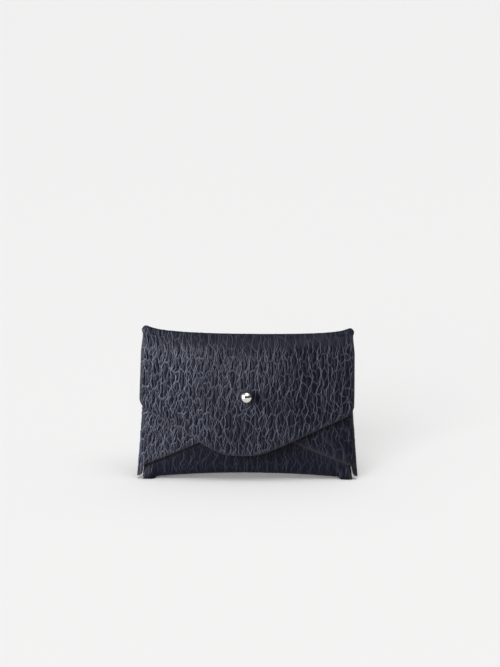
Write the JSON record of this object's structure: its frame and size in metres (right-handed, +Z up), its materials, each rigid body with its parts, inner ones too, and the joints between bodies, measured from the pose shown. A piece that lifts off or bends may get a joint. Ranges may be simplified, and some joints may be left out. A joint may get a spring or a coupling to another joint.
{
  "type": "card holder",
  "caption": "Envelope-style leather card holder: one folded blank held by a ball stud, with a closure flap that buttons over it.",
  "frame": {"origin": "bottom centre of the holder's box, on the surface it stands on", "axes": "+Z up; the front with the closure flap and the ball stud faces -Y; +X is to the viewer's right"},
  "size_m": [0.1104, 0.0234, 0.0767],
  "materials": {
    "leather": "soft pebbled grain, dark navy, semi-matt, with a suede inside and dark burnished cut edges",
    "nickel": "polished nickel"
  },
  "bodies": {
    "pocket": {"back_panel": "leather", "bottom_fold": "leather", "bottom_flap": "leather", "left_fold": "leather", "left_flap": "leather", "right_fold": "leather", "right_flap": "leather", "top_fold": "leather", "ball_stud": "nickel", "stud_screw": "nickel"},
    "closure": {"closure_flap": "leather"}
  },
  "joints": [
    {"name": "closure_hinge", "type": "hinge", "parent": "pocket", "child": "closure", "pos_m": [0, 0.00229, 0.07055], "axis": [-1, 0, 0], "range_deg": [0, 140]}
  ]
}
